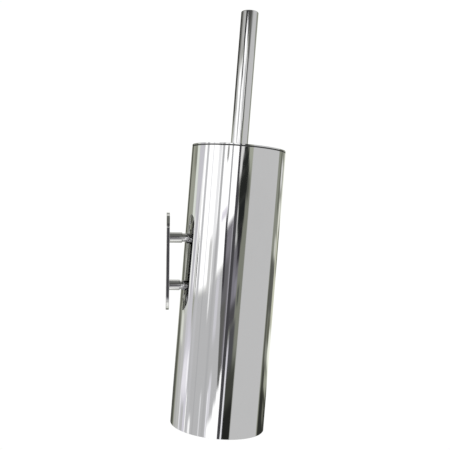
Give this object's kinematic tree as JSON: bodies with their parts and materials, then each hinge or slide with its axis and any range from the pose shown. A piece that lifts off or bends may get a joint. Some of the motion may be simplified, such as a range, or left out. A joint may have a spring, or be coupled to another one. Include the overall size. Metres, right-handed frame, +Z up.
{
  "type": "toilet brush holder",
  "caption": "Wall-hung toilet brush holder: a tilted round steel tube on a small upright wall plate, with a lift-out liner and a lidded brush.",
  "frame": {"origin": "centre of the upright wall plate's back face, where it lies on the wall", "axes": "+X out from the wall, +Z up, Y along the wall; the tube leans 3.9 degrees away from the wall at its top"},
  "size_m": [0.1123, 0.0888, 0.3963],
  "materials": {
    "polished_steel": "mirror polished",
    "plain_steel": "plain",
    "black_plastic": "moulded",
    "grey_plastic": "moulded",
    "white_nylon": "bristle"
  },
  "bodies": {
    "holder": {"wall_plate": "polished_steel", "plate_screw_upper": "plain_steel", "plate_screw_lower": "plain_steel", "post_upper": "polished_steel", "post_lower": "polished_steel", "post_spacer_upper": "polished_steel", "post_spacer_lower": "polished_steel", "tube_washer_upper": "plain_steel", "tube_washer_lower": "plain_steel", "tube_screw_upper": "plain_steel", "tube_screw_lower": "plain_steel", "outer_tube": "polished_steel", "tube_base": "plain_steel"},
    "liner": {"liner_cup": "grey_plastic"},
    "brush": {"lid_plate": "polished_steel", "lid_spigot": "black_plastic", "lid_collar": "plain_steel", "collar_grub_screw": "plain_steel", "handle_tube": "polished_steel", "handle_cap": "polished_steel", "head_adapter": "black_plastic", "brush_core": "black_plastic", "side_bristles": "white_nylon", "tip_bristles": "white_nylon"}
  },
  "joints": [
    {"name": "liner_lift", "type": "slide", "parent": "holder", "child": "liner", "axis": [0.068, 0, 0.9977], "range_m": [0, 0.27]},
    {"name": "brush_lift", "type": "slide", "parent": "liner", "child": "brush", "axis": [0.068, 0, 0.9977], "range_m": [0, 0.26]}
  ]
}
